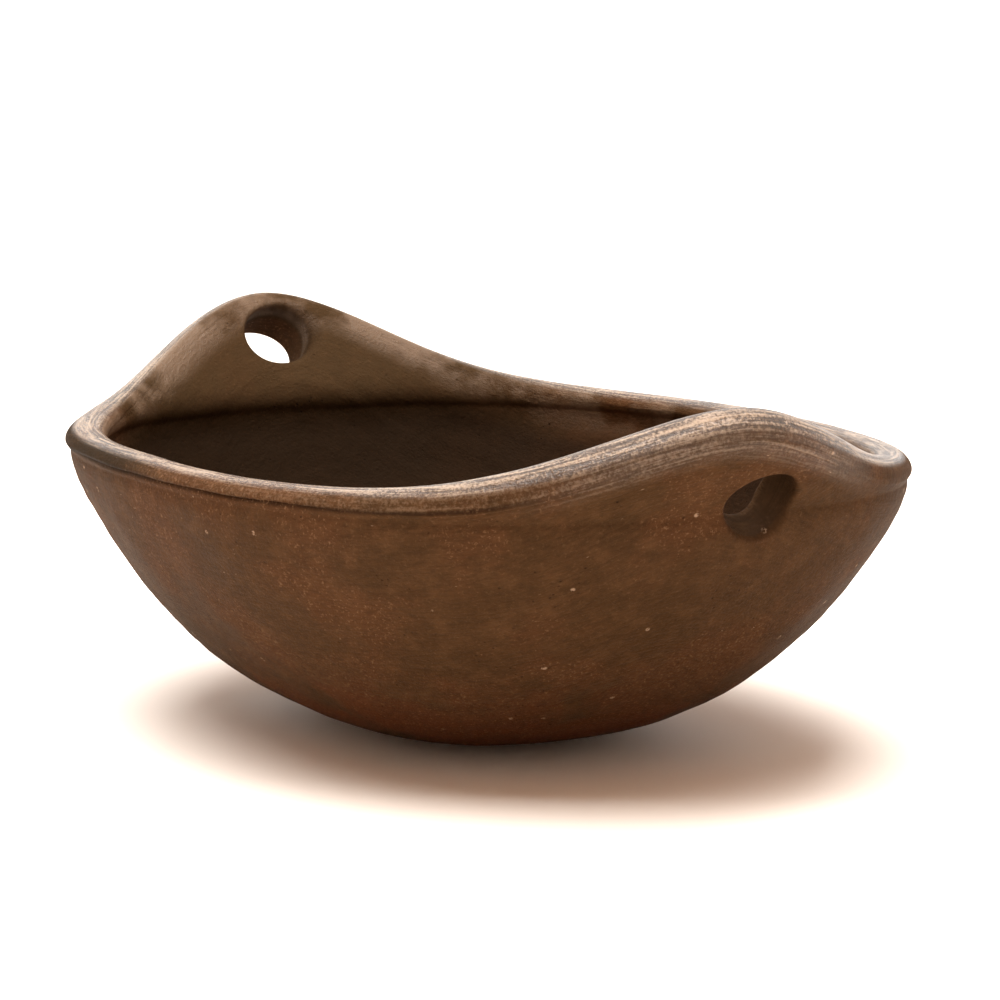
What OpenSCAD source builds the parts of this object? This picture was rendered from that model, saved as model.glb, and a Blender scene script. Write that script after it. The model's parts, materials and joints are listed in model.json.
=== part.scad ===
// Hand-built earthenware bowl lamp: a round-bottomed oval bowl with a low rolled rim and two
// raised ears, each pierced by a finger hole. The pieces are the clay parts that are formed apart
// and luted together before firing. +X runs through the ears, the table is Z = 0.

/* [Bowl] */
// Outer length of the wall at the low rim
bowl_len = 229; // [210:1:250]
// Outer width of the wall at the low rim
bowl_w = 183; // [165:1:200]
// Height of the low rim above the table
rim_h = 72; // [64:1:80]
// Squareness of the oval plan, 2 being a true ellipse
plan_power = 2.4; // [2:0.1:2.8]
// Fullness of the belly, higher being flatter at the bottom
belly_power = 2.6; // [2:0.1:3]
// How quickly the wall turns upright towards the rim
side_power = 1.3; // [1.2:0.1:2]
// Thickness of the wall
wall_t = 9; // [7:0.5:10]
// Thickness of the floor
floor_t = 10; // [8:0.5:12]
// Size of the flat foot as a share of the plan
foot_share = 0.17; // [0.14:0.01:0.25]
// Height of the seam between the round base and the wall
base_h = 22; // [18:1:28]

/* [Rim] */
// Diameter of the rolled rim
roll_d = 11.5; // [10.5:0.5:13]
// Height of the straight neck below the roll
neck_h = 2; // [1:0.5:4]

/* [Ears] */
// How far the front ear rises above the low rim
front_rise = 19.5; // [19:0.5:28]
// How far the back ear rises above the low rim
back_rise = 24.5; // [20:0.5:30]
// Angle that the ears lean out from upright
ear_lean = 42; // [34:1:48]
// Angle either side of its middle over which an ear falls away
ear_spread = 20.5; // [17:0.5:22]
// Sharpness of the ear's outline, higher being squarer
ear_power = 1.8; // [1.6:0.1:2.4]

/* [Finger holes] */
// Diameter of the finger holes
hole_d = 17.5; // [14:0.5:18]
// Distance from the middle of the front roll down to the middle of the hole
front_hole_drop = 15.5; // [14:0.5:16]
// Distance from the middle of the back roll down to the middle of the hole
back_hole_drop = 11; // [10.5:0.5:16]
// Angle of the front hole away from the middle of its ear
front_hole_turn = 5; // [-5:1:5]
// Angle of the back hole away from the middle of its ear
back_hole_turn = 1; // [-5:1:5]
// Angle that the front hole slants sideways through its ear
front_hole_slant = 12; // [0:1:26]
// Angle that the back hole slants sideways through its ear
back_hole_slant = 26; // [0:1:26]
// Angle that the front hole dips outwards below square to its ear
front_hole_dip = 0; // [0:1:8]
// Angle that the back hole dips outwards below square to its ear
back_hole_dip = 8; // [0:1:8]

/* [Hidden] */

ring_step = 4;          // angle between neighbouring sections round the bowl
ear_half = 40;          // half the angle that each ear takes up
roll_arc_steps = 14;    // facets round the rolled rim
plate_levels = 5;       // facets up the face of an ear
neck_levels = 1;        // facets up the neck of a side roll
wall_levels = 7;        // facets up the wall
base_levels = 7;        // facets up the round base
ease_h = 5;             // rise over which the roll turns from upright to leaning
floor_ring = 0.01;      // height of the flat middle of the floor, as a share of the inner depth
cutter_len = 60;        // length of the tool that pierces an ear

roll_r = roll_d / 2;
ear_t = roll_d;         // the ears are as thick as the roll on top of them
rim_mid = rim_h - roll_r;
seam_dip = sqrt(roll_r * roll_r - wall_t * wall_t / 4);
wall_top = rim_mid - seam_dip - neck_h;

// Unit-power oval: distance from the axis to the outside of the wall at the low rim
function plan(a) =
    pow(pow(abs(cos(a)) * 2 / bowl_len, plan_power) + pow(abs(sin(a)) * 2 / bowl_w, plan_power),
        -1 / plan_power);

// Share of the full width that the bowl has at a share of its height
function belly(h) = pow(1 - pow(1 - max(0, min(1, h)), side_power), 1 / belly_power);

// Signed angle from one direction to another
function turn_from(a, middle) = (a - middle + 540) % 360 - 180;

// Rise of the rim above its low level, with one ear at each end
function ear_bump(a, middle, rise) =
    rise * exp(-pow(abs(turn_from(a, middle)) / ear_spread, ear_power));
function rise_at(a) = ear_bump(a, 0, front_rise) + ear_bump(a, 180, back_rise);

// How fully the ear's lean and thickness have set in at a height above the low rim
function eased(rise) = 1 - exp(-max(0, rise) / ease_h);
function lean_out(z) = tan(ear_lean) * max(0, z - rim_mid);
function lean_gap(z) = (ear_t / cos(ear_lean) - wall_t) * eased(z - rim_mid);

function outer_r(a, z) =
    plan(a) * sqrt(pow(foot_share, 2) + (1 - pow(foot_share, 2)) * pow(belly(z / rim_mid), 2))
    + lean_out(z);
function inner_r(a, z) =
    (plan(a) - wall_t) * belly((z - floor_t) / (rim_mid - floor_t)) + lean_out(z) - lean_gap(z);

function in_plan(a, p) = [p[0] * cos(a), p[0] * sin(a), p[1]];
function mix(low, high, share) = low + (high - low) * share;

// Section of the rolled rim, as [distance from the axis, height], from its outside seam over the
// top to its inside seam
function roll_middle(a) =
    let (z = rim_mid + rise_at(a))
    [plan(a) - wall_t / 2 + lean_out(z) - lean_gap(z) / 2, z];
function roll_lean(a) = ear_lean * eased(rise_at(a));
function roll_seam_half(a) = mix(wall_t, ear_t, eased(rise_at(a))) / 2;
function roll_section(a) =
    let (mid = roll_middle(a), lean = roll_lean(a), dip = acos(roll_seam_half(a) / roll_r))
    [for (i = [0 : roll_arc_steps])
        let (t = mix(-dip, 180 + dip, i / roll_arc_steps))
        mid + roll_r * [cos(t) * cos(lean) + sin(t) * sin(lean),
                        sin(t) * cos(lean) - cos(t) * sin(lean)]];

// Sides of the clay between the wall's top and the roll, outside going up or inside coming down
function outside_up(a, top, levels) =
    [for (i = [0 : levels - 1]) let (z = mix(wall_top, top, i / levels)) [outer_r(a, z), z]];
function inside_down(a, top, levels) =
    [for (i = [levels - 1 : -1 : 0]) let (z = mix(wall_top, top, i / levels)) [inner_r(a, z), z]];

function necked_roll_section(a) =
    let (roll = roll_section(a))
    concat(outside_up(a, roll[0][1], neck_levels), roll,
           inside_down(a, roll[roll_arc_steps][1], neck_levels));
function plate_section(a) =
    let (roll = roll_section(a), out = roll[0], in = roll[roll_arc_steps])
    concat(outside_up(a, out[1], plate_levels), [out, in], inside_down(a, in[1], plate_levels));

// Solid through a list of outlines with equal numbers of points, capped at its ends or closed
// into a ring
module loft(outlines, ring = false) {
    n = len(outlines[0]);
    m = len(outlines);
    sides = [for (k = [0 : ring ? m - 1 : m - 2], j = [0 : n - 1])
        let (a = k * n + j, b = k * n + (j + 1) % n,
             c = (k + 1) % m * n + (j + 1) % n, d = (k + 1) % m * n + j)
        each (j < n - 1 ? [[a, d, c], [a, c, b]] : [[a, d, b], [b, d, c]])];
    caps = ring ? [] : [[for (j = [0 : n - 1]) j], [for (j = [n - 1 : -1 : 0]) (m - 1) * n + j]];
    polyhedron(points = [for (outline = outlines) each outline], faces = concat(sides, caps));
}

function outer_ring(z) = [for (a = [0 : ring_step : 359]) in_plan(a, [outer_r(a, z), z])];
function inner_ring(z) = [for (a = [0 : ring_step : 359]) in_plan(a, [inner_r(a, z), z])];

module round_base() {
    floor_z = mix(floor_t, rim_mid, floor_ring);
    outside = [for (i = [0 : base_levels]) outer_ring(base_h * pow(i / base_levels, 1.5))];
    inside = [for (i = [base_levels : -1 : 0])
        inner_ring(mix(floor_z, base_h, pow(i / base_levels, 1.5)))];
    color("#4a2f1f") loft(concat(outside, inside));
}

module bowl_wall() {
    outside = [for (i = [0 : wall_levels]) outer_ring(mix(base_h, wall_top, i / wall_levels))];
    inside = [for (i = [wall_levels : -1 : 0])
        inner_ring(mix(base_h, wall_top, i / wall_levels))];
    color("#553826") loft(concat(outside, inside), ring = true);
}

// Tool that pierces an ear, its middle at the given distance below the roll. Without a slant or a
// dip it is square to the ear.
module hole_cutter(turn, drop, slant, dip) {
    mid = roll_middle(turn);
    translate(in_plan(turn, mid - drop * [sin(ear_lean), cos(ear_lean)]))
        rotate([0, 90 + ear_lean + dip, turn])
            rotate([-slant, 0, 0])
                cylinder(d = hole_d, h = cutter_len, center = true, $fn = 64);
}

module ear(middle, turn, drop, slant, dip) {
    color("#5d4a33") difference() {
        loft([for (a = [middle + ear_half : -ring_step : middle - ear_half])
            [for (p = plate_section(a)) in_plan(a, p)]]);
        hole_cutter(middle + turn, drop, slant, dip);
    }
}

module ear_roll(middle) {
    color("#6b5138") loft([for (a = [middle + ear_half : -ring_step : middle - ear_half])
        [for (p = roll_section(a)) in_plan(a, p)]]);
}

module rim_roll(middle) {
    half = 90 - ear_half;
    color("#7a5c48") loft([for (a = [middle + half : -ring_step : middle - half])
        [for (p = necked_roll_section(a)) in_plan(a, p)]]);
}

module front_ear() { ear(0, front_hole_turn, front_hole_drop, front_hole_slant, front_hole_dip); }
module back_ear() { ear(180, back_hole_turn, back_hole_drop, back_hole_slant, back_hole_dip); }
module front_ear_roll() { ear_roll(0); }
module back_ear_roll() { ear_roll(180); }
module left_rim_roll() { rim_roll(90); }
module right_rim_roll() { rim_roll(270); }

round_base();
bowl_wall();
front_ear();
back_ear();
front_ear_roll();
back_ear_roll();
left_rim_roll();
right_rim_roll();
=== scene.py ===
"""A hand-built, stone-burnished earthenware bowl with a rolled rim and two raised, pierced ears.

The clay is one continuous skin, worked out from the bowl's driving dimensions as a grid of
columns (round the bowl) and rows (up the outside, over the rim and down the inside). It is then
cut along rows and columns into the same eight pieces as the CAD frame. Lengths are millimetres
until a mesh is made.
"""
import json
import math
from types import SimpleNamespace

import bpy
import numpy as np
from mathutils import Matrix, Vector


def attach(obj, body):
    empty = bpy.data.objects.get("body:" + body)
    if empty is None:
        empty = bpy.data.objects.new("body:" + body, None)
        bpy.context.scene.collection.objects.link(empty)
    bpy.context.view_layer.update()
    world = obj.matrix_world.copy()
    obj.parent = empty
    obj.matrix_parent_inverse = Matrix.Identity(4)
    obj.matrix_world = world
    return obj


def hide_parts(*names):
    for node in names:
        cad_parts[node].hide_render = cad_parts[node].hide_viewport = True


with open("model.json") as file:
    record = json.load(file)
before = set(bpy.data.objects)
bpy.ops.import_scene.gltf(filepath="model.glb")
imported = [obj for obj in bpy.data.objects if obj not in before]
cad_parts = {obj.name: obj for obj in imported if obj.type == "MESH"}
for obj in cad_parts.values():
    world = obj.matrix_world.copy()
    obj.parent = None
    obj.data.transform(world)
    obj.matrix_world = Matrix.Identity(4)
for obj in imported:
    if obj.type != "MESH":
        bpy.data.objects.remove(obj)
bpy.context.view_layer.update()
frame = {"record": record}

MM = 0.001
rng = np.random.default_rng(7)

# Bowl: the driving dimensions of the frame
BOWL_LEN = 229.0
BOWL_W = 183.0
RIM_H = 72.0
PLAN_POWER = 2.4
BELLY_POWER = 2.6
SIDE_POWER = 1.3
WALL_T = 9.0
FLOOR_T = 10.0
FOOT_SHARE = 0.17
BASE_H = 22.0
ROLL_R = 5.75
NECK_H = 2.0
FRONT_RISE = 19.5
BACK_RISE = 24.5
EAR_LEAN = math.radians(42)
EAR_SPREAD = 20.5
EAR_POWER = 1.8
EASE_H = 5.0
EAR_HALF = 40
EAR_T = 2 * ROLL_R
RIM_MID = RIM_H - ROLL_R
WALL_TOP = RIM_MID - math.sqrt(ROLL_R**2 - WALL_T**2 / 4) - NECK_H

# Looks of the rim: between the ears it is pressed flatter than a true roll, and the wall opens
# out into it, though hardly at the corner that lies at LEFT_CORNER degrees round the bowl
SIDE_CAP = 3.8
SIDE_UNDER = 1.5
SIDE_SEAM = math.radians(12)
FLARE = 1.2
FLARE_FROM = 22.0
FLARE_TO = 58.0
LEFT_CORNER = -120

# Hand work: wavelengths and depths of the dents, strokes and ridges
HAND_WAVE = 46
HAND_DEPTH = 0.42
FINGER_WAVE = 17
FINGER_DEPTH = 0.17
RIM_WAVE = 30
RIDGE_WAVE = 3.0
RIDGE_DEPTH = 0.28
FINE_RIDGE_WAVE = 1.5
FINE_RIDGE_DEPTH = 0.14
RIDGES_DOWN = 6.5
WIPE_WAVE = 5.5
WIPE_DEPTH = 0.1
GROOVE_DOWN = 7.1
GROOVE_WANDER = 0.4
GROOVE_WIDTH = 0.7
GROOVE_DEPTH = 1.0
GROOVE_ELSEWHERE = 0.05
CREASE_DOWN = 3.5
CREASE_HEIGHT = 4.5
CREASE_DEPTH = 0.8

# Grid, and the rows where the pieces part
COLUMNS = 720
FOOT_ROWS = 8
BASE_ROWS = 32
WALL_ROWS = 44
PLATE_ROWS = 80
ROLL_ROWS = 80
BANDS = [FOOT_ROWS, BASE_ROWS, WALL_ROWS, PLATE_ROWS, ROLL_ROWS, PLATE_ROWS, WALL_ROWS,
         BASE_ROWS, FOOT_ROWS]
BAND_START = np.concatenate([[0], np.cumsum(BANDS)])
ROWS = int(BAND_START[-1])
CUT_ROWS_DOWN = 8
WALL_CUT = BAND_START[2] + WALL_ROWS - CUT_ROWS_DOWN
ROLL_CUT = BAND_START[4] + ROLL_ROWS // 5

# Finger holes
OUTER_MOUTH_ROUND = 1.2
INNER_MOUTH_ROUND = 2.2
HOLE_MARGIN = 1.6
LOW_SIDE_ROUNDER = 0.35
MOUTH_STEPS = 7
FILL_RINGS = 5
FILL_POWER = 0.8
BORE_RINGS = 10
HALVINGS = 26
LEAST_FACING = 0.5
# points farther than this along a bore lie on the other ear, and count as out of reach
SAME_EAR = 40
OUT_OF_REACH = 1e3


def share(x, low, high):
    """Smooth step from 0 at low to 1 at high."""
    t = np.clip((x - low) / (high - low), 0, 1)
    return t * t * (3 - 2 * t)


def mix(low, high, amount):
    return low + (high - low) * amount


# ---------------------------------------------------------------- the bowl's shape
def plan(a):
    """Distance from the axis to the outside of the wall at the low rim."""
    along = np.abs(np.cos(a)) * 2 / BOWL_LEN
    across = np.abs(np.sin(a)) * 2 / BOWL_W
    return (along**PLAN_POWER + across**PLAN_POWER) ** (-1 / PLAN_POWER)


def belly(h):
    return (1 - (1 - np.clip(h, 0, 1)) ** SIDE_POWER) ** (1 / BELLY_POWER)


def turn_from(a, middle):
    """Degrees from one direction to another, signed."""
    return (np.degrees(a) - middle + 540) % 360 - 180


def rise_at(a):
    """Height of the rim's middle line above its low level."""
    front = FRONT_RISE * np.exp(-np.abs(turn_from(a, 0) / EAR_SPREAD) ** EAR_POWER)
    back = BACK_RISE * np.exp(-np.abs(turn_from(a, 180) / EAR_SPREAD) ** EAR_POWER)
    return front + back


def eased(rise):
    return 1 - np.exp(-np.maximum(0, rise) / EASE_H)


def lean_out(z):
    return math.tan(EAR_LEAN) * np.maximum(0, z - RIM_MID)


def lean_gap(z):
    return (EAR_T / math.cos(EAR_LEAN) - WALL_T) * eased(z - RIM_MID)


def flare(a, z):
    """How far the upper wall opens out to run into the lip without a neck."""
    on_ear = eased(rise_at(a)) * share(z, RIM_MID - 4, RIM_MID + 6)
    at_corner = share(np.cos(a - math.radians(LEFT_CORNER)), 0.5, 0.9)
    return FLARE * share(z, FLARE_FROM, FLARE_TO) * (1 - on_ear) * mix(1, 0.25, at_corner)


def outer_r(a, z):
    swell = np.sqrt(FOOT_SHARE**2 + (1 - FOOT_SHARE**2) * belly(z / RIM_MID) ** 2)
    return plan(a) * swell + lean_out(z) + flare(a, z)


def inner_r(a, z):
    depth = belly((z - FLOOR_T) / (RIM_MID - FLOOR_T))
    return (plan(a) - WALL_T) * depth + lean_out(z) - lean_gap(z)


def roll_point(a, t):
    """Point (distance from the axis, height) at angle t round the rim's roll."""
    rise = rise_at(a)
    set_in = eased(rise)
    lean = EAR_LEAN * set_in
    z = RIM_MID + rise
    cap = mix(SIDE_CAP, ROLL_R, set_in)
    under = mix(SIDE_UNDER, ROLL_R, set_in)
    up = ROLL_R - cap + np.sin(t) * np.where(np.sin(t) > 0, cap, under)
    out = ROLL_R * np.cos(t)
    middle = plan(a) - WALL_T / 2 + lean_out(z) - lean_gap(z) / 2
    r = middle + out * np.cos(lean) + up * np.sin(lean)
    return r, z + up * np.cos(lean) - out * np.sin(lean)


def roll_dip(a):
    """How far below its widest points the roll meets the clay under it, as an angle."""
    return SIDE_SEAM * (1 - eased(rise_at(a)))


def inside_seam(a):
    """Where the roll meets the clay under it on the inside, smoothed over without a dip."""
    return roll_point(a, math.pi)


def section(a, row):
    """Point (distance from the axis, height) of the undisturbed skin at a column and row."""
    a, row = np.broadcast_arrays(np.asarray(a, float), np.asarray(row, float))
    r = np.zeros(a.shape)
    z = np.zeros(a.shape)
    band = np.clip(np.searchsorted(BAND_START, row, side="right") - 1, 0, len(BANDS) - 1)
    s = (row - BAND_START[band]) / np.array(BANDS)[band]
    floor_z = mix(FLOOR_T, RIM_MID, 0.01)

    def put(k, points):
        here = band == k
        if here.any():
            r[here], z[here] = points(a[here], s[here])

    def foot(a, s):
        return plan(a) * FOOT_SHARE * mix(0.04, 1, s), 0 * s

    def base_out(a, s):
        h = BASE_H * s**1.5
        return outer_r(a, h), h

    def wall_out(a, s):
        h = mix(BASE_H, WALL_TOP, s)
        return outer_r(a, h), h

    def plate(a, s, surface, seam):
        """Clay between the wall's top (s = 0) and the roll's seam (s = 1)."""
        seam_r, seam_z = seam
        h = mix(WALL_TOP, seam_z, s)
        return surface(a, h) + (seam_r - surface(a, seam_z)) * s**2, h

    def plate_out(a, s):
        return plate(a, s, outer_r, roll_point(a, -roll_dip(a)))

    def roll(a, s):
        return roll_point(a, mix(-roll_dip(a), math.pi, s))

    def plate_in(a, s):
        return plate(a, 1 - s, inner_r, inside_seam(a))

    def wall_in(a, s):
        h = mix(WALL_TOP, BASE_H, s)
        return inner_r(a, h), h

    def base_in(a, s):
        h = mix(floor_z, BASE_H, (1 - s) ** 1.5)
        return inner_r(a, h), h

    def floor(a, s):
        return inner_r(a, floor_z) * mix(1, 0.04, s), mix(floor_z, FLOOR_T, s)

    makers = (foot, base_out, wall_out, plate_out, roll, plate_in, wall_in, base_in, floor)
    for k, maker in enumerate(makers):
        put(k, maker)
    return r, z


class Waves:
    """A smooth random field: many plane waves of about one wavelength, from -1 to 1 or so."""

    def __init__(self, wavelength, count=28, stretch=(1, 1, 1)):
        way = rng.normal(size=(count, 3))
        way /= np.linalg.norm(way, axis=1, keepdims=True)
        size = 2 * math.pi / (wavelength * rng.uniform(0.7, 1.5, size=(count, 1)))
        self.k = way * size / np.array(stretch)
        self.phase = rng.uniform(0, 2 * math.pi, size=count)

    def __call__(self, p):
        total = np.zeros(p.shape[:-1])
        for k, phase in zip(self.k, self.phase):
            total += np.cos(p @ k + phase)
        return total / math.sqrt(len(self.k) / 2) / 2


hand_waves = Waves(HAND_WAVE)
finger_waves = Waves(FINGER_WAVE)
rim_waves = Waves(RIM_WAVE, stretch=(1, 1, 1.5))
ridge_waves = Waves(RIDGE_WAVE, count=48, stretch=(22, 22, 1))
fine_ridge_waves = Waves(FINE_RIDGE_WAVE, count=48, stretch=(30, 30, 1))
wipe_waves = Waves(WIPE_WAVE, count=40, stretch=(12, 12, 1))
# radius that on_skin gives the rim, all the way round
RIM_R = 100.0


def along_section(a):
    """Distance of every row from the rim's crest along the skin, positive outside."""
    steps = section(a[:, None], np.arange(ROWS + 1)[None, :])
    length = np.hypot(np.diff(steps[0], axis=1), np.diff(steps[1], axis=1))
    run = np.concatenate([np.zeros((len(a), 1)), np.cumsum(length, axis=1)], axis=1)
    return run[:, [ROWS // 2]] - run


COLUMN_ANGLES = np.linspace(0, 2 * math.pi, COLUMNS, endpoint=False)
ACROSS = along_section(COLUMN_ANGLES)


def across_at(a, row):
    """ACROSS read between its columns and rows."""
    c = (a / (2 * math.pi) * COLUMNS) % COLUMNS
    c0 = np.floor(c).astype(int)
    r0 = np.clip(np.floor(row).astype(int), 0, ROWS - 1)
    fc = c - c0
    fr = row - r0
    c1 = (c0 + 1) % COLUMNS
    low = mix(ACROSS[c0 % COLUMNS, r0], ACROSS[c1, r0], fc)
    high = mix(ACROSS[c0 % COLUMNS, r0 + 1], ACROSS[c1, r0 + 1], fc)
    return mix(low, high, fr)


def smooth_skin(a, row):
    r, z = section(a, row)
    return np.stack([r * np.cos(a), r * np.sin(a), z], axis=-1)


def grid_normal(surface, a, row):
    """Outward direction of a surface, from steps to either side along it."""
    da = 0.002
    dr = 0.12
    row = np.clip(row, dr, ROWS - dr)
    round_it = surface(a + da, row) - surface(a - da, row)
    up_it = surface(a, row + dr) - surface(a, row - dr)
    n = np.cross(round_it, up_it)
    return n / np.maximum(np.linalg.norm(n, axis=-1, keepdims=True), 1e-9)


def on_skin(a, s):
    """Place on the skin unrolled along the rim: streaks and ridges follow it round."""
    return np.stack([RIM_R * np.cos(a), RIM_R * np.sin(a), s], axis=-1)


def dent(a, row, p):
    """How deep the potter's hand pressed the clay in at each point. It is never below 0."""
    s = across_at(a, row)
    unrolled = on_skin(a, s)
    degrees = turn_from(a, 0)
    ear = eased(rise_at(a))
    outside = share(s, -1, 3)
    above_foot = share(p[..., 2], 2, 14)
    depth = HAND_DEPTH * (1 + hand_waves(p)) + FINGER_DEPTH * (1 + finger_waves(p))
    depth = depth * mix(0.35, 1, above_foot) * mix(0.25, 1, share(np.abs(s), 5, 28))
    # groove under the lip along the near side, from one ear's shoulder to the other's
    near_side = share(-degrees, 36, 54) * share(-degrees, 122, 98)
    groove_s = GROOVE_DOWN + GROOVE_WANDER * rim_waves(p)
    groove = np.exp(-(((s - groove_s) / GROOVE_WIDTH) ** 2))
    groove = groove * (GROOVE_ELSEWHERE + GROOVE_DEPTH * near_side)
    depth = depth + groove * (1 - 0.8 * ear)
    # long ridges that the wiping finger left, strong along the front ear's lip
    front = share(degrees, -46, -22) * share(degrees, 34, 14)
    lip = np.exp(-(((s - RIDGES_DOWN) / RIDGES_DOWN) ** 2)) * outside
    ridges = RIDGE_DEPTH * (1 + ridge_waves(unrolled))
    ridges = ridges + FINE_RIDGE_DEPTH * (1 + fine_ridge_waves(unrolled))
    depth = depth + ridges * lip * mix(0.15, 1, front)
    wiped = WIPE_DEPTH * (1 + wipe_waves(unrolled))
    depth = depth + wiped * above_foot * mix(0.3, 1, share(np.abs(s), 1, 8))
    # undercut inside, below the lip and below the bend where each ear turns out
    crease_z = RIM_MID - CREASE_DOWN - rim_waves(p)
    crease = np.exp(-(((p[..., 2] - crease_z) / CREASE_HEIGHT) ** 2))
    depth = depth + CREASE_DEPTH * crease * share(s, -9, -13)
    return np.maximum(depth, 0)


def skin(a, row):
    """Point of the finished skin."""
    p = smooth_skin(a, row)
    return p - grid_normal(smooth_skin, a, row) * dent(a, row, p)[..., None]


# ---------------------------------------------------------------- the grid, with its holes
class Clay:
    """The whole skin: points, their attributes, the cells that holes took and added faces."""

    def __init__(self):
        a = np.repeat(COLUMN_ANGLES[:, None], ROWS + 1, axis=1)
        row = np.repeat(np.arange(ROWS + 1.0)[None, :], COLUMNS, axis=0)
        self.grid = skin(a, row)
        self.points = [self.grid.reshape(-1, 3)]
        self.across = [ACROSS.reshape(-1)]
        self.around = [a.reshape(-1)]
        self.bored = [np.zeros(COLUMNS * (ROWS + 1))]
        self.count = COLUMNS * (ROWS + 1)
        self.gone = np.zeros((COLUMNS, ROWS), bool)
        self.extra = {}

    def at(self, column, row):
        return (column % COLUMNS) * (ROWS + 1) + row

    def add(self, points, around, across, bored=0.0):
        """Adds points with their attributes, and gives their numbers."""
        points = np.asarray(points).reshape(-1, 3)
        first = self.count
        self.points.append(points)
        self.around.append(np.broadcast_to(around, len(points)))
        self.across.append(np.broadcast_to(across, len(points)))
        self.bored.append(np.full(len(points), bored))
        self.count += len(points)
        return np.arange(first, self.count)


class Bore:
    """A finger hole's axis and radius, from the frame's mount, and two directions across it."""

    def __init__(self, mount):
        self.point = np.array(mount["pos_m"]) / MM
        self.axis = np.array(mount["axis"])
        self.r = mount["dims"]["r_mm"]
        self.aside = np.cross(self.axis, (0, 0, 1))
        self.aside /= np.linalg.norm(self.aside)
        self.upward = np.cross(self.aside, self.axis)

    def split(self, points):
        """Height of points along the axis, and their offset across it."""
        off = points - self.point
        height = off @ self.axis
        return height, off - height[..., None] * self.axis


def block_round(grid, bore, reach, rows):
    """Cells within reach of a bore: middle column and row, half width, lowest and highest row."""
    row_list = np.arange(rows[0], rows[1] + 1)
    along, off = bore.split(grid[:, row_list])
    far = np.linalg.norm(off, axis=-1)
    far = np.where(np.abs(along) < SAME_EAR, far, OUT_OF_REACH)
    near = np.argwhere(far < reach)
    middle = np.unravel_index(np.argmin(far), far.shape)
    turn = (near[:, 0] - middle[0] + COLUMNS // 2) % COLUMNS - COLUMNS // 2
    half_columns = int(np.abs(turn).max()) + 1
    low = row_list[near[:, 1].min()] - 1
    high = row_list[near[:, 1].max()] + 1
    return middle[0], row_list[middle[1]], half_columns, low, high


def paired_limits(outside, inside):
    """Row limits of both blocks, with the same number of rows, so that their rims pair up."""
    tall = max(outside[4] - outside[3], inside[4] - inside[3])
    limits = []
    for block, lowest, highest in ((outside, WALL_CUT + 1, ROLL_CUT),
                                   (inside, ROWS - ROLL_CUT, ROWS - WALL_CUT - 1)):
        spare = tall - (block[4] - block[3])
        low = max(lowest, block[3] - spare // 2)
        high = low + tall
        if high > highest:
            high = highest
            low = high - tall
        limits.append((low, high))
    return limits


def ring_of_block(column, half, low, high, flip):
    """Grid places round a block, in order. flip walks the rows the other way."""
    start, end = (high, low) if flip else (low, high)
    step = -1 if flip else 1
    ring = [(c, start) for c in range(column - half, column + half)]
    ring += [(column + half, r) for r in range(start, end, step)]
    ring += [(c, end) for c in range(column + half, column - half, -1)]
    ring += [(column - half, r) for r in range(end, start, -step)]
    return np.array(ring)


def evened(angle, value):
    """A value known all round a ring, without its sharp steps."""
    waves = [np.ones_like(angle)]
    for order in range(1, 4):
        waves += [np.cos(order * angle), np.sin(order * angle)]
    basis = np.stack(waves, axis=-1)
    return basis @ np.linalg.lstsq(basis, value, rcond=None)[0]


def mouth_edge(bore, centre, edge, round_off):
    """Places (angle, row) where a rounded mouth leaves the skin, found by halving."""
    near = np.zeros(len(edge))
    far = np.ones(len(edge))
    for _ in range(HALVINGS):
        middle = (near + far) / 2
        place = mix(centre, edge, middle[:, None])
        off = bore.split(skin(place[:, 0], place[:, 1]))[1]
        in_mouth = np.linalg.norm(off, axis=-1) < bore.r + round_off
        near = np.where(in_mouth, middle, near)
        far = np.where(in_mouth, far, middle)
    return mix(centre, edge, near[:, None])


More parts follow.
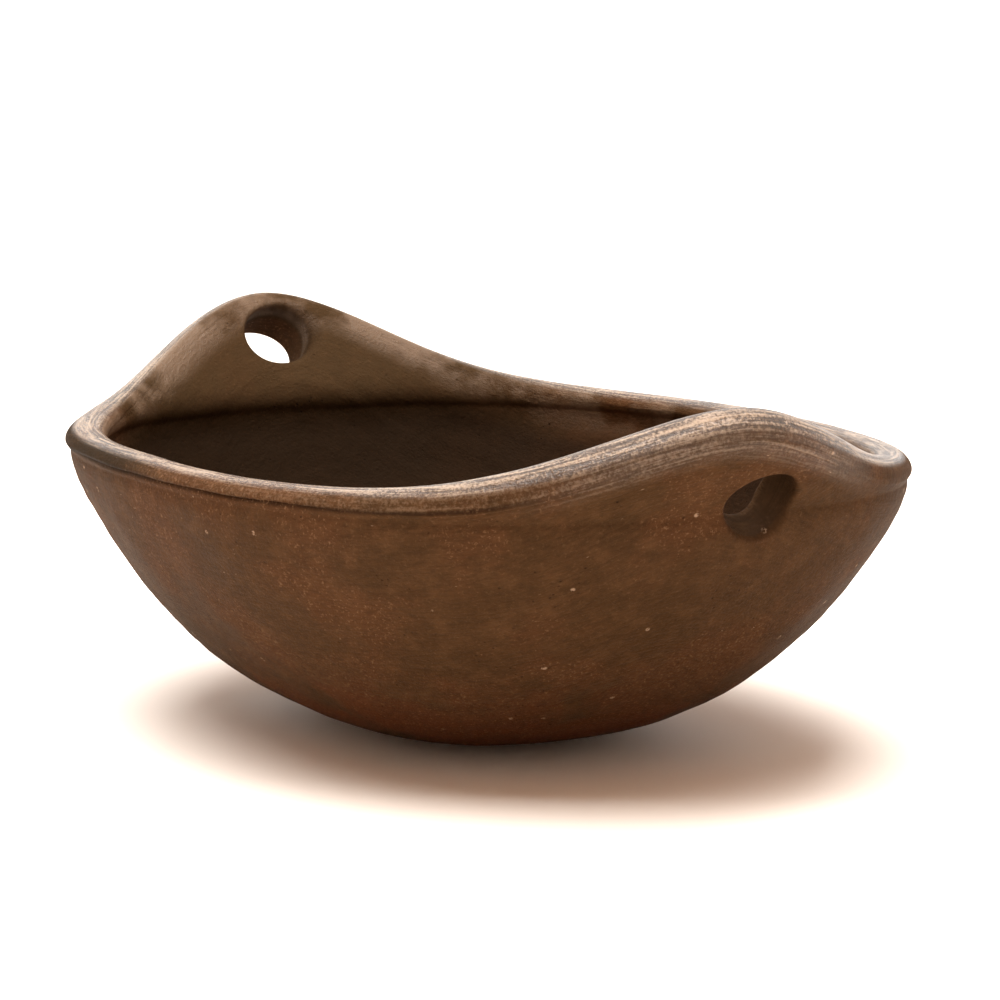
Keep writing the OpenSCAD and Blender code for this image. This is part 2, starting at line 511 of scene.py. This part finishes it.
def open_mouth(clay, bore, block, half, limits, side, mouth_round):
    """Takes a block of cells away and fills in to the bore's wall, with a rounded mouth.

    Gives the rings of points, and for the innermost ring the points, their angles round the
    bowl and their distances along the skin. side is 1 outside the bowl and -1 inside it.
    """
    column, row = block[:2]
    low, high = limits
    places = ring_of_block(column, half, low, high, side < 0)
    for c in range(column - half, column + half):
        clay.gone[c % COLUMNS, low:high] = True
    step = 2 * math.pi / COLUMNS
    edge = np.stack([places[:, 0] * step, places[:, 1]], axis=-1).astype(float)
    centre = np.array([column * step, row], float)
    # the mouth is rounder on its low side, where a finger goes in
    spoke = bore.split(skin(edge[:, 0], edge[:, 1]))[1]
    upness = spoke[:, 2] / np.linalg.norm(spoke, axis=1)
    round_off = mouth_round * (1 - LOW_SIDE_ROUNDER * upness)
    mouth = mouth_edge(bore, centre, edge, round_off)
    rings = [clay.at(places[:, 0], places[:, 1])]
    for k in range(1, FILL_RINGS + 1):
        q = mix(edge, mouth, (k / FILL_RINGS) ** FILL_POWER)
        rings.append(clay.add(skin(q[:, 0], q[:, 1]), q[:, 0], across_at(q[:, 0], q[:, 1])))
    # a curve from the skin's own slope to the bore's straight wall
    lip_points = skin(mouth[:, 0], mouth[:, 1])
    height, radial = bore.split(lip_points)
    radial /= np.linalg.norm(radial, axis=1, keepdims=True)
    slope = grid_normal(smooth_skin, mouth[:, 0], mouth[:, 1])
    facing = side * np.maximum(side * (slope @ bore.axis), LEAST_FACING)
    drop = np.sum(slope * radial, axis=1) / facing * round_off
    angle = np.arctan2(radial @ bore.aside, radial @ bore.upward)
    height = evened(angle, height + drop)
    corner = bore.point + height[:, None] * bore.axis + radial * bore.r
    wall = corner - side * bore.axis * round_off[:, None]
    across = across_at(mouth[:, 0], mouth[:, 1])
    for k in range(1, MOUTH_STEPS + 1):
        t = k / MOUTH_STEPS
        curve = (1 - t) ** 2 * lip_points + 2 * t * (1 - t) * corner + t * t * wall
        rings.append(clay.add(curve, mouth[:, 0], across, t))
    return rings, wall, mouth[:, 0], across


def ring_faces(rings, flip):
    """Quads between neighbouring rings."""
    faces = []
    for outer, inner in zip(rings, rings[1:]):
        quads = np.stack([outer, np.roll(outer, -1), np.roll(inner, -1), inner], axis=-1)
        faces.append(quads[:, ::-1] if flip else quads)
    return faces


def line_bore(clay, bore, outer, inner):
    """Faces of the bore's wall, from the outer mouth to the inner one."""
    rings, start, around, start_across = outer
    # each point joins the nearest one round the other mouth
    spokes = [bore.split(mouth[1])[1] / bore.r for mouth in (outer, inner)]
    match = [np.sum(spokes[0] * np.roll(spokes[1], -k, axis=0)) for k in range(len(start))]
    shift = int(np.argmax(match))
    end_ring = np.roll(inner[0][-1], -shift)
    end = np.roll(inner[1], -shift, axis=0)
    end_across = np.roll(inner[3], -shift)
    bore_rings = [rings[-1]]
    for k in range(1, BORE_RINGS):
        t = k / BORE_RINGS
        height, radial = bore.split(mix(start, end, t))
        radial *= bore.r / np.linalg.norm(radial, axis=1, keepdims=True)
        points = bore.point + height[:, None] * bore.axis + radial
        bore_rings.append(clay.add(points, around, mix(start_across, end_across, t), 1.0))
    bore_rings.append(end_ring)
    return ring_faces(bore_rings, False)


def pierce(clay, mount, owner):
    """Opens the skin for one bore, with rounded mouths, and adds its wall."""
    bore = Bore(mount)
    reach = bore.r + INNER_MOUTH_ROUND + HOLE_MARGIN
    # both blocks keep clear of the ear's own cuts and of the rim's crest
    outside = block_round(clay.grid, bore, reach, (WALL_CUT + 2, ROWS // 2 - 4))
    inside = block_round(clay.grid, bore, reach, (ROWS // 2 + 4, ROWS - WALL_CUT - 2))
    half = max(outside[2], inside[2])
    limits = paired_limits(outside, inside)
    outer = open_mouth(clay, bore, outside, half, limits[0], 1, OUTER_MOUTH_ROUND)
    inner = open_mouth(clay, bore, inside, half, limits[1], -1, INNER_MOUTH_ROUND)
    faces = ring_faces(outer[0], False) + ring_faces(inner[0], True)
    faces += line_bore(clay, bore, outer, inner)
    clay.extra[owner] = np.concatenate(faces)


# ---------------------------------------------------------------- pieces
def column_span(middle, half):
    """First column and number of columns of a stretch, both from angles in degrees."""
    per_degree = COLUMNS / 360
    return int(round((middle - half) * per_degree)), int(round(2 * half * per_degree))


# each piece's middle and width in degrees round the bowl, and its first and last row
PIECES = {
    "round_base": (0, 360, 0, BAND_START[2]),
    "bowl_wall": (0, 360, BAND_START[2], WALL_CUT),
    "front_ear": (0, 2 * EAR_HALF, WALL_CUT, ROLL_CUT),
    "back_ear": (180, 2 * EAR_HALF, WALL_CUT, ROLL_CUT),
    "front_ear_roll": (0, 2 * EAR_HALF, ROLL_CUT, ROWS // 2),
    "back_ear_roll": (180, 2 * EAR_HALF, ROLL_CUT, ROWS // 2),
    "left_rim_roll": (90, 180 - 2 * EAR_HALF, WALL_CUT, ROWS // 2),
    "right_rim_roll": (270, 180 - 2 * EAR_HALF, WALL_CUT, ROWS // 2),
}


def quads_between(clay, first, columns, low, high):
    """Skin faces of a stretch of columns and rows, without those that a hole took away."""
    c = (first + np.arange(columns))[:, None]
    r = np.arange(low, high)[None, :]
    keep = ~clay.gone[c % COLUMNS, r]
    q = np.stack([clay.at(c, r), clay.at(c + 1, r), clay.at(c + 1, r + 1), clay.at(c, r + 1)], -1)
    return q[keep]


def piece_faces(clay, name):
    """Faces of a closed piece: its outside and inside skin, and then its joint faces."""
    middle, width, low, high = PIECES[name]
    first, columns = column_span(middle, width / 2)
    mirror = ROWS - np.arange(ROWS + 1)
    whole = width == 360
    faces = [quads_between(clay, first, columns, low, high),
             quads_between(clay, first, columns, mirror[high], mirror[low])]
    if name in clay.extra:
        faces.append(clay.extra[name])
    skin_faces = np.concatenate(faces)
    joints = []
    c = first + np.arange(columns)
    if low > 0:
        joints.append(np.stack([clay.at(c, low), clay.at(c, mirror[low]),
                                clay.at(c + 1, mirror[low]), clay.at(c + 1, low)], -1))
    if high < ROWS // 2:
        joints.append(np.stack([clay.at(c, high), clay.at(c + 1, high),
                                clay.at(c + 1, mirror[high]), clay.at(c, mirror[high])], -1))
    if not whole:
        r = np.arange(low, min(high, ROWS // 2 - 1))
        for column, flip in ((first, False), (first + columns, True)):
            q = np.stack([clay.at(column, r), clay.at(column, r + 1),
                          clay.at(column, mirror[r + 1]), clay.at(column, mirror[r])], -1)
            joints.append(q[:, ::-1] if flip else q)
            if high == ROWS // 2:
                tip = ROWS // 2
                ends = [clay.at(column, tip - 1), clay.at(column, tip), clay.at(column, tip + 1)]
                ends = ends[::-1] if flip else ends
                joints.append(np.array([ends + [-1]]))
    return skin_faces, (np.concatenate(joints) if joints else np.zeros((0, 4), int))


def make_mesh(name, points, faces, loop_normals=None):
    """A mesh from quads; -1 in the last place of a quad makes it a triangle."""
    mesh = bpy.data.meshes.new(name)
    mesh.from_pydata(points.tolist(), [], [[int(v) for v in f if v >= 0] for f in faces])
    mesh.polygons.foreach_set("use_smooth", np.ones(len(mesh.polygons), bool))
    if loop_normals is not None:
        mesh.normals_split_custom_set(loop_normals)
    mesh.update()
    return mesh


def build_clay():
    clay = Clay()
    mounts = {m["name"]: m for m in frame["record"]["mounts"]}
    pierce(clay, mounts["front_ear_hole"], "front_ear")
    pierce(clay, mounts["back_ear_hole"], "back_ear")
    # the middles of the foot and of the floor
    for row in (0, ROWS):
        ring = clay.at(np.arange(COLUMNS), row)
        p = np.concatenate(clay.points)[ring].mean(axis=0)
        centre = clay.add(p, 0, ACROSS[0, row])[0]
        fan = np.stack([ring, np.roll(ring, -1), np.full(COLUMNS, centre), np.full(COLUMNS, -1)],
                       -1)
        if row == 0:
            fan[:, :3] = fan[:, [1, 0, 2]]
        clay.extra.setdefault("round_base", np.zeros((0, 4), int))
        clay.extra["round_base"] = np.concatenate([clay.extra["round_base"], fan])
    return clay


def make_pieces(material):
    """One object a piece. All share the whole skin's normals, so that no seam shows."""
    clay = build_clay()
    points = np.concatenate(clay.points) * MM
    around = np.concatenate(clay.around)
    across = np.concatenate(clay.across) * MM
    bored = np.concatenate(clay.bored)
    unrolled = on_skin(around, across / MM) * MM
    parts = {name: piece_faces(clay, name) for name in PIECES}
    whole = make_mesh("whole_skin", points, np.concatenate([s for s, _ in parts.values()]))
    normals = np.zeros(len(points) * 3)
    whole.vertex_normals.foreach_get("vector", normals)
    normals = normals.reshape(-1, 3)
    bpy.data.meshes.remove(whole)
    for name, (skin_faces, joints) in parts.items():
        faces = np.concatenate([skin_faces, joints])
        used = np.unique(faces[faces >= 0])
        local = np.full(len(points) + 1, -1)
        local[used] = np.arange(len(used))
        local_faces = local[faces]
        loop_normals = []
        for k, face in enumerate(faces):
            ids = face[face >= 0]
            if k < len(skin_faces):
                loop_normals.extend(normals[ids])
            else:
                flat = np.cross(points[ids[1]] - points[ids[0]], points[ids[2]] - points[ids[0]])
                flat = flat / max(np.linalg.norm(flat), 1e-12)
                loop_normals.extend([flat] * len(ids))
        mesh = make_mesh(name, points[used], local_faces, loop_normals)
        layer = mesh.attributes.new("across", "FLOAT", "POINT")
        layer.data.foreach_set("value", across[used])
        layer = mesh.attributes.new("bored", "FLOAT", "POINT")
        layer.data.foreach_set("value", bored[used])
        layer = mesh.attributes.new("on_skin", "FLOAT_VECTOR", "POINT")
        layer.data.foreach_set("vector", unrolled[used].ravel())
        obj = bpy.data.objects.new(name + "_clay", mesh)
        bpy.context.scene.collection.objects.link(obj)
        mesh.materials.append(material)
        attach(obj, "root")
        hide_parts(name)


# ---------------------------------------------------------------- material
class Nodes:
    """Short way to write a shader's nodes."""

    def __init__(self, material):
        material.use_nodes = True
        self.tree = material.node_tree
        self.tree.nodes.clear()

    def new(self, kind, out=0, **values):
        node = self.tree.nodes.new(kind)
        inputs = values.pop("inputs", {})
        for key, value in values.items():
            setattr(node, key, value)
        for key, value in inputs.items():
            self.set(node.inputs[key], value)
        return node if out is None else node.outputs[out]

    def set(self, socket, value):
        if isinstance(value, bpy.types.NodeSocket):
            self.tree.links.new(value, socket)
        else:
            socket.default_value = value

    def math(self, operation, a, b, clamp=False):
        return self.new("ShaderNodeMath", operation=operation, use_clamp=clamp,
                        inputs={0: a, 1: b})

    def product(self, first, *others):
        for other in others:
            first = self.math("MULTIPLY", first, other)
        return first

    def flat_radius(self, place):
        """Distance from the bowl's upright axis."""
        flat = self.new("ShaderNodeVectorMath", operation="MULTIPLY",
                        inputs={0: place, 1: (1, 1, 0)})
        return self.new("ShaderNodeVectorMath", out=1, operation="LENGTH", inputs={0: flat})

    def band(self, value, low, high, start=0.0, end=1.0):
        """Smooth step from start to end as value goes from low to high."""
        return self.new("ShaderNodeMapRange", interpolation_type="SMOOTHSTEP",
                        inputs={"Value": value, "From Min": low, "From Max": high,
                                "To Min": start, "To Max": end})

    def noise(self, place, scale, detail=4.0, rough=0.55, stretch=(1, 1, 1)):
        place = self.new("ShaderNodeVectorMath", operation="MULTIPLY",
                         inputs={0: place, 1: stretch})
        return self.new("ShaderNodeTexNoise",
                        inputs={"Vector": place, "Scale": scale, "Detail": detail,
                                "Roughness": rough})

    def blend(self, amount, a, b):
        node = self.new("ShaderNodeMix", out=None, data_type="RGBA", blend_type="MIX")
        self.set(node.inputs[0], amount)
        self.set(node.inputs[6], a)
        self.set(node.inputs[7], b)
        return node.outputs[2]


def rgb(r, g, b):
    """Linear colour of an sRGB one given from 0 to 255."""
    return tuple(((v / 255 + 0.055) / 1.055) ** 2.4 if v > 10 else v / 255 / 12.92
                 for v in (r, g, b)) + (1,)


CLAY_DARK = rgb(58, 40, 23)
CLAY_WARM = rgb(66, 45, 27)
CLAY_PALE = rgb(86, 60, 38)
CLAY_RUST = rgb(82, 42, 22)
CLAY_OLIVE = rgb(52, 39, 23)
# dark colour for painted shade, and for the darker hand strokes
CLAY_SHADED = rgb(34, 25, 13)
# near black, for painted shade and for pits
CLAY_SMOKED = rgb(20, 12, 6)
CLAY_DUST = rgb(128, 97, 70)
CLAY_GRIT = rgb(168, 140, 114)
# pale colour for painted highlights on the rim
CLAY_WORN = rgb(168, 148, 126)
# painted highlight colour for the inside of the rim
CLAY_HANDLED = rgb(112, 92, 74)
CLAY_TAN = rgb(126, 103, 82)


def clay_masks(n):
    """Masks from 0 to 1 for each kind of colour and wear, for painted highlights and painted shade,
    and the noises they come from.

    Distances are metres: across is the distance from the rim's crest, positive outside.
    """
    m = SimpleNamespace()
    m.place = n.new("ShaderNodeTexCoord", out=3)
    x, y, z = n.new("ShaderNodeSeparateXYZ", out=None, inputs={0: m.place}).outputs
    across = n.new("ShaderNodeAttribute", out=2, attribute_name="across")
    unrolled = n.new("ShaderNodeAttribute", out=1, attribute_name="on_skin")
    bored = n.new("ShaderNodeAttribute", out=2, attribute_name="bored")
    m.across = across
    open_skin = n.band(bored, 0.7, 0.2)

    # regions
    m.inside = n.band(across, 0.001, -0.003)
    m.top = n.product(n.band(across, 0.004, 0.0018), n.band(across, -0.0065, -0.0035), open_skin,
                      n.band(y, -0.06, -0.085, 1.0, 0.75))
    # lower part of the outside, where the redder colour is painted warm bounce light
    low = n.band(n.math("ADD", z, n.product(n.noise(m.place, 45), 0.03)), 0.043, 0.022)
    left_corner = n.product(n.band(y, -0.045, -0.075), n.band(x, 0.035, -0.01))
    front = n.product(n.band(x, 0.08, 0.09), n.band(y, -0.05, -0.02), n.band(y, 0.05, 0.02),
                      n.band(across, 0.0, 0.001))
    m.ridged = n.product(front, n.band(across, 0.0135, 0.0065), open_skin)
    m.ear_face = n.product(m.inside, n.band(x, -0.07, -0.1))
    soft = n.band(n.noise(m.place, 42, 4, 0.6), 0.4, 0.6)
    # painted highlight: a lighter band along the inside of the rim and the back ear's inner edge,
    # over the back half; the coat's polish on the same band is real
    turned = n.product(n.band(across, -0.001, -0.006), n.band(across, -0.018, -0.009))
    m.turned = n.product(turned, n.band(x, 0.02, -0.03), soft)
    # painted shade on the outer face of the lip at the left corner, under its overhang
    m.bead = n.product(n.band(across, 0.002, 0.0036), n.band(across, 0.0092, 0.0068),
                       n.product(left_corner, 0.9))
    # painted shade: a dark line along the groove under the near side's lip
    m.seam = n.product(n.band(across, 0.0062, 0.007), n.band(across, 0.0084, 0.0074),
                       n.band(y, -0.03, -0.055, 0, 0.6))
    # painted shade: the inside of the bowl below the rim, darkening into the bend under the ears, and
    # the bores' walls at half strength
    smoked = n.product(n.band(across, -0.01, -0.022), n.band(z, 0.075, 0.061), 0.82)
    m.smoked = n.math("MAXIMUM", smoked, n.product(bored, 0.5))
    unsmoked = n.math("SUBTRACT", 1.0, n.product(m.smoked, 1.1), True)

    # strokes follow the rim round, and fade out towards the middle of the bottom
    spread = n.band(n.flat_radius(m.place), 0.02, 0.05)
    m.streak = n.noise(unrolled, 60, 5, 0.6, stretch=(1, 1, 18))
    m.streak = n.math("ADD", 0.5, n.product(n.math("SUBTRACT", m.streak, 0.5), spread))
    m.stroke = n.noise(unrolled, 380, 4, 0.75, stretch=(1, 1, 2.2))
    m.stroke = n.math("ADD", 0.5, n.product(n.math("SUBTRACT", m.stroke, 0.5), spread))

    # the clay itself: patches, rust, fine pale dust, pits, grit and a few larger flecks; the rust
    # grows towards the bottom, where its redness is painted warm bounce light
    speck = n.noise(m.place, 1300, 2, 0.7)
    m.patches = n.noise(m.place, 26, 5)
    m.mottle = n.noise(m.place, 160, 5, 0.6)
    rusty = n.band(n.noise(m.place, 26, 6, 0.65), 0.47, 0.58)
    m.rust = n.math("MULTIPLY", rusty, n.math("ADD", n.product(low, 0.6), 0.12), True)
    dust = n.band(n.noise(m.place, 1200, 3, 0.7), 0.52, 0.76)
    m.dust = n.product(dust, n.band(rusty, 0, 1, 0.14, 0.5), unsmoked,
                       n.band(m.inside, 0, 1, 1.0, 0.2))
    pits = n.new("ShaderNodeTexVoronoi", inputs={"Vector": m.place, "Scale": 420.0})
    m.pit = n.product(n.band(pits, 0.16, 0.04), n.band(n.noise(m.place, 90), 0.5, 0.62))
    along = n.new("ShaderNodeVectorMath", operation="MULTIPLY",
                  inputs={0: unrolled, 1: (1, 1, 2.6)})
    grit = n.new("ShaderNodeTexVoronoi", inputs={"Vector": along, "Scale": 230.0})
    grit = n.product(n.band(grit, 0.1, 0.03), n.band(n.noise(m.place, 70), 0.56, 0.62))
    fleck = n.new("ShaderNodeTexVoronoi", inputs={"Vector": m.place, "Scale": 95.0})
    fleck = n.product(n.band(fleck, 0.08, 0.05), n.band(speck, 0.4, 0.52))
    m.grit = n.product(n.math("MAXIMUM", grit, fleck),
                       n.math("SUBTRACT", unsmoked, m.inside, True))

    # painted highlights and painted shade along the top of the rim and the front ear's ridges, and
    # tan wear on the lip of the near side
    near_side = n.math("SUBTRACT", n.band(y, -0.015, -0.05), left_corner, True)
    grained = n.math("ADD", n.product(m.streak, 0.4), n.product(speck, 0.6))
    m.lip_face = n.product(n.band(across, 0.0005, 0.002), n.band(across, 0.0076, 0.0062),
                           near_side, n.band(grained, 0.42, 0.64))
    m.worn = n.math("ADD", n.product(m.streak, 0.75), n.product(speck, 0.4))
    m.rubbed = n.math("ADD", n.product(m.top, 0.7), n.product(m.ridged, 0.36), True)
    # painted highlight: a thin bright line along the crest
    m.glint = n.product(n.band(across, 0.0026, 0.0008), n.band(across, -0.005, -0.002),
                        open_skin, n.band(m.worn, 0.5, 0.68))
    return m


def clay_colour(n, m):
    """The clay's colour, laid on in thin layers from the body out to the wear, with painted
    highlights and painted shade among them.
    """
    colour = n.blend(n.band(m.patches, 0.35, 0.68), CLAY_DARK, CLAY_WARM)
    layers = [
        (n.band(m.mottle, 0.42, 0.75, 0, 0.4), CLAY_PALE),
        # rust patches, and painted warm bounce light towards the bottom
        (m.rust, CLAY_RUST),
        (n.band(m.stroke, 0.52, 0.36, 0, 0.3), CLAY_SHADED),
        (n.band(m.stroke, 0.5, 0.7, 0, 0.2), CLAY_PALE),
        (n.product(m.ear_face, 0.75), CLAY_OLIVE),
        # painted highlight along the inside of the rim
        (n.product(m.turned, 0.55), CLAY_HANDLED),
        # painted shade under the lip at the left corner
        (m.bead, CLAY_SHADED),
        # painted shade along the groove under the lip
        (m.seam, CLAY_SMOKED),
        (n.product(m.lip_face, 0.3), CLAY_TAN),
        # painted shade inside the bowl and in the bores
        (m.smoked, CLAY_SMOKED),
        (m.dust, CLAY_DUST),
        (n.product(m.pit, 0.6), CLAY_SMOKED),
        (n.product(m.grit, 0.6), CLAY_GRIT),
        # painted shade and painted highlights in streaks along the top of the rim and the front ear's
        # ridges, and a thin painted highlight on the crest
        (n.product(n.band(m.worn, 0.58, 0.46), m.rubbed, 0.5), CLAY_SHADED),
        (n.product(n.band(m.worn, 0.52, 0.72), m.rubbed, 0.75), CLAY_WORN),
        (n.product(m.glint, 0.5), CLAY_WORN),
    ]
    for amount, layer in layers:
        colour = n.blend(amount, colour, layer)
    return colour


def clay_bump(n, m):
    """Relief too small for the mesh, which has the dents, the groove and the ridges."""
    streaks = n.product(m.streak, n.band(m.across, -0.02, 0.0, 0.25, 1.0))
    grain = n.noise(m.place, 1300, 3, 0.7)
    knead = n.noise(m.place, 330, 4, 0.65)
    parts = [
        n.product(streaks, n.math("ADD", 0.4, n.product(m.rubbed, 0.5))),
        n.product(grain, n.band(m.rubbed, 0, 1, 0.42, 0.75)),
        n.product(knead, 0.4),
        n.product(m.stroke, 0.35),
        n.product(m.pit, -0.4),
        n.product(m.grit, 0.3),
    ]
    height = parts[0]
    for part in parts[1:]:
        height = n.math("ADD", height, part)
    return n.new("ShaderNodeBump", inputs={"Strength": 0.9, "Distance": 0.001, "Height": height})


def clay_material():
    material = bpy.data.materials.new("burnished_clay")
    n = Nodes(material)
    m = clay_masks(n)
    rough = n.band(m.patches, 0.3, 0.7, 0.55, 0.68)
    rough = n.math("ADD", rough, n.product(m.inside, 0.1))
    rough = n.math("SUBTRACT", rough, n.product(m.top, 0.2))
    coat = n.math("ADD", n.product(m.top, 0.95), n.product(m.ridged, 0.4))
    coat = n.math("ADD", coat, n.product(m.turned, 0.22), True)
    bump = clay_bump(n, m)
    shader = n.new("ShaderNodeBsdfPrincipled", inputs={
        "Base Color": clay_colour(n, m), "Roughness": rough, "IOR": 1.08, "Normal": bump,
        "Coat Weight": coat, "Coat Roughness": 0.21, "Coat IOR": 1.5, "Coat Normal": bump})
    n.new("ShaderNodeOutputMaterial", out=None, inputs={"Surface": shader})
    return material


def studio_material():
    """A pale floor that glows a little far from the object, where the light doesn't reach."""
    material = bpy.data.materials.new("studio_white")
    n = Nodes(material)
    place = n.new("ShaderNodeTexCoord", out=3)
    z = n.new("ShaderNodeSeparateXYZ", out=2, inputs={0: place})
    glow = n.product(n.band(n.flat_radius(place), 0.9, 1.9, 0, 0.75), n.band(z, 0.3, 0.0))
    shader = n.new("ShaderNodeBsdfPrincipled", inputs={
        "Base Color": (0.9, 0.86, 0.81, 1), "Roughness": 0.7,
        "Emission Color": (0.8, 0.88, 0.92, 1), "Emission Strength": glow})
    n.new("ShaderNodeOutputMaterial", out=None, inputs={"Surface": shader})
    return material


# ---------------------------------------------------------------- studio
CAMERA_TURN = math.radians(63.3)
CAMERA_RISE = math.radians(8.18)
CAMERA_FAR = 0.945
TARGET = Vector((0, 0, 0.054))
SENSOR = 36.0
LENS = 139.1
SHIFT_X = 0.0243
SHIFT_Y = 0.0061
AWAY = Vector((-math.sin(CAMERA_TURN), math.cos(CAMERA_TURN), 0))
RIGHT = Vector((math.cos(CAMERA_TURN), math.sin(CAMERA_TURN), 0))

# Floor, screen and lights, in metres and watts
FLOOR_R = 3.0
FLOOR_BEND = 1.0
FLOOR_TOP = 3.5
FLOOR_TURNS = 72
BEND_STEPS = 12
SCREEN_AWAY = 1.35
SCREEN_HALF = 1.6
SCREEN_H = 1.2
SCREEN_GLOW = 1.3
LIGHT_AWAY = 0.02
LIGHT_LEFT = 0.12
LIGHT_H = 1.3
LIGHT_SIZE = (1.5, 1.2)
LIGHT_POWER = 62
WORLD_COLOUR = (1, 0.52, 0.27, 1)
WORLD_STRENGTH = 0.73


def make_camera():
    data = bpy.data.cameras.new("camera")
    data.lens = LENS
    data.sensor_width = SENSOR
    data.shift_x = SHIFT_X
    data.shift_y = SHIFT_Y
    data.clip_start = 0.05
    camera = bpy.data.objects.new("camera", data)
    flat = math.cos(CAMERA_RISE)
    way = Vector((math.sin(CAMERA_TURN) * flat, -math.cos(CAMERA_TURN) * flat,
                  math.sin(CAMERA_RISE)))
    camera.location = TARGET + way * CAMERA_FAR
    camera.rotation_euler = way.to_track_quat("Z", "Y").to_euler()
    bpy.context.scene.collection.objects.link(camera)
    bpy.context.scene.camera = camera


def make_floor(material):
    """A plain round floor that curves up into a backdrop on every side."""
    profile = [(FLOOR_R, 0.0)]
    for k in range(1, BEND_STEPS + 1):
        t = k / BEND_STEPS * math.pi / 2
        profile.append((FLOOR_R + FLOOR_BEND * math.sin(t), FLOOR_BEND * (1 - math.cos(t))))
    profile.append((FLOOR_R + FLOOR_BEND, FLOOR_TOP))
    points = [(0, 0, 0)]
    for r, z in profile:
        for k in range(FLOOR_TURNS):
            a = 2 * math.pi * k / FLOOR_TURNS
            points.append((r * math.cos(a), r * math.sin(a), z))
    faces = [(0, 1 + k, 1 + (k + 1) % FLOOR_TURNS) for k in range(FLOOR_TURNS)]
    for ring in range(len(profile) - 1):
        low = 1 + ring * FLOOR_TURNS
        high = low + FLOOR_TURNS
        for k in range(FLOOR_TURNS):
            m = (k + 1) % FLOOR_TURNS
            faces.append((low + k, high + k, high + m, low + m))
    mesh = bpy.data.meshes.new("floor")
    mesh.from_pydata(points, [], faces)
    mesh.polygons.foreach_set("use_smooth", [True] * len(mesh.polygons))
    mesh.materials.append(material)
    floor = bpy.data.objects.new("floor", mesh)
    bpy.context.scene.collection.objects.link(floor)


def make_screen():
    """A plain lit white screen standing behind the object."""
    corners = [AWAY * SCREEN_AWAY + RIGHT * x + Vector((0, 0, z))
               for x, z in ((-SCREEN_HALF, 0), (SCREEN_HALF, 0), (SCREEN_HALF, SCREEN_H),
                            (-SCREEN_HALF, SCREEN_H))]
    mesh = bpy.data.meshes.new("screen")
    mesh.from_pydata(corners, [], [(0, 1, 2, 3)])
    material = bpy.data.materials.new("lit_white")
    n = Nodes(material)
    glow = n.new("ShaderNodeEmission", inputs={"Color": (1, 0.985, 0.97, 1), "Strength": SCREEN_GLOW})
    n.new("ShaderNodeOutputMaterial", out=None, inputs={"Surface": glow})
    mesh.materials.append(material)
    screen = bpy.data.objects.new("screen", mesh)
    bpy.context.scene.collection.objects.link(screen)


def area_light(name, place, aim, size, power, colour):
    data = bpy.data.lights.new(name, "AREA")
    data.shape = "RECTANGLE"
    data.size, data.size_y = size
    data.energy = power
    data.color = colour
    light = bpy.data.objects.new(name, data)
    light.location = place
    light.rotation_euler = (Vector(place) - Vector(aim)).to_track_quat("Z", "Y").to_euler()
    bpy.context.scene.collection.objects.link(light)


def make_lights():
    top = AWAY * LIGHT_AWAY - RIGHT * LIGHT_LEFT + Vector((0, 0, LIGHT_H))
    area_light("soft_top", top, (0, 0, 0), LIGHT_SIZE, LIGHT_POWER, (1, 0.99, 0.97))
    world = bpy.data.worlds.new("studio")
    world.use_nodes = True
    background = world.node_tree.nodes["Background"]
    background.inputs["Color"].default_value = WORLD_COLOUR
    background.inputs["Strength"].default_value = WORLD_STRENGTH
    bpy.context.scene.world = world


bpy.context.scene.view_settings.view_transform = "Standard"
make_camera()
make_floor(studio_material())
make_screen()
make_lights()
make_pieces(clay_material())
